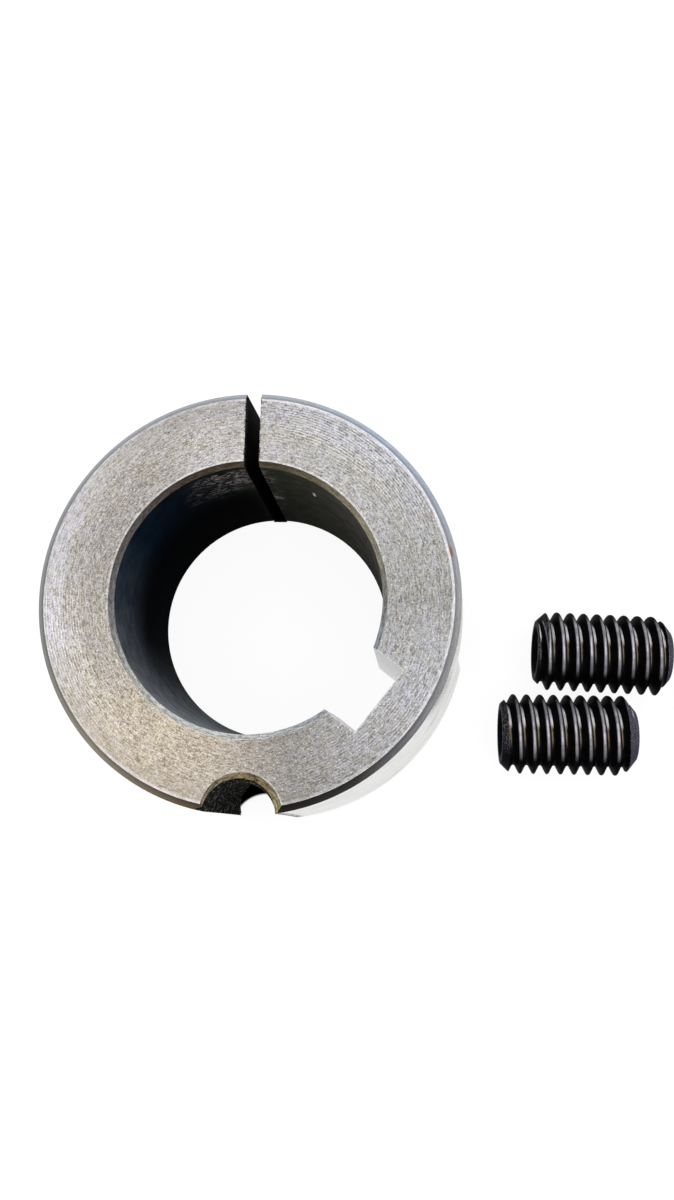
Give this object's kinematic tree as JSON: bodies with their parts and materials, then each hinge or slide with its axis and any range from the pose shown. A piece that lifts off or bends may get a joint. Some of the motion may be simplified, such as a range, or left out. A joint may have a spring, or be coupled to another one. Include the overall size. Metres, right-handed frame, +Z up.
{
  "type": "taper lock bushing",
  "caption": "Split bushing with a tapered outside, a keyed bore, a saw cut and half-holes for screws, with its clamping set screws lying beside it.",
  "frame": {"origin": "middle of the footprint of the set, on the surface that the bushing's large end and the two set screws stand on", "axes": "+Z up, along the bushing's bore axis from its large end to its small end; +X from the bushing towards the set screws; +Y the side of the saw cut, opposite the threaded removal half-hole"},
  "size_m": [0.071, 0.0473, 0.0254],
  "materials": {
    "turned_iron": "fine-turned grey iron with concentric tool marks on the end faces, lightly oiled",
    "black_oxide_steel": "black oxide on rolled alloy steel, worn to bare metal on the crests"
  },
  "bodies": {
    "root": {"bushing": "turned_iron", "set_screw_1": "black_oxide_steel", "set_screw_2": "black_oxide_steel"}
  },
  "joints": []
}
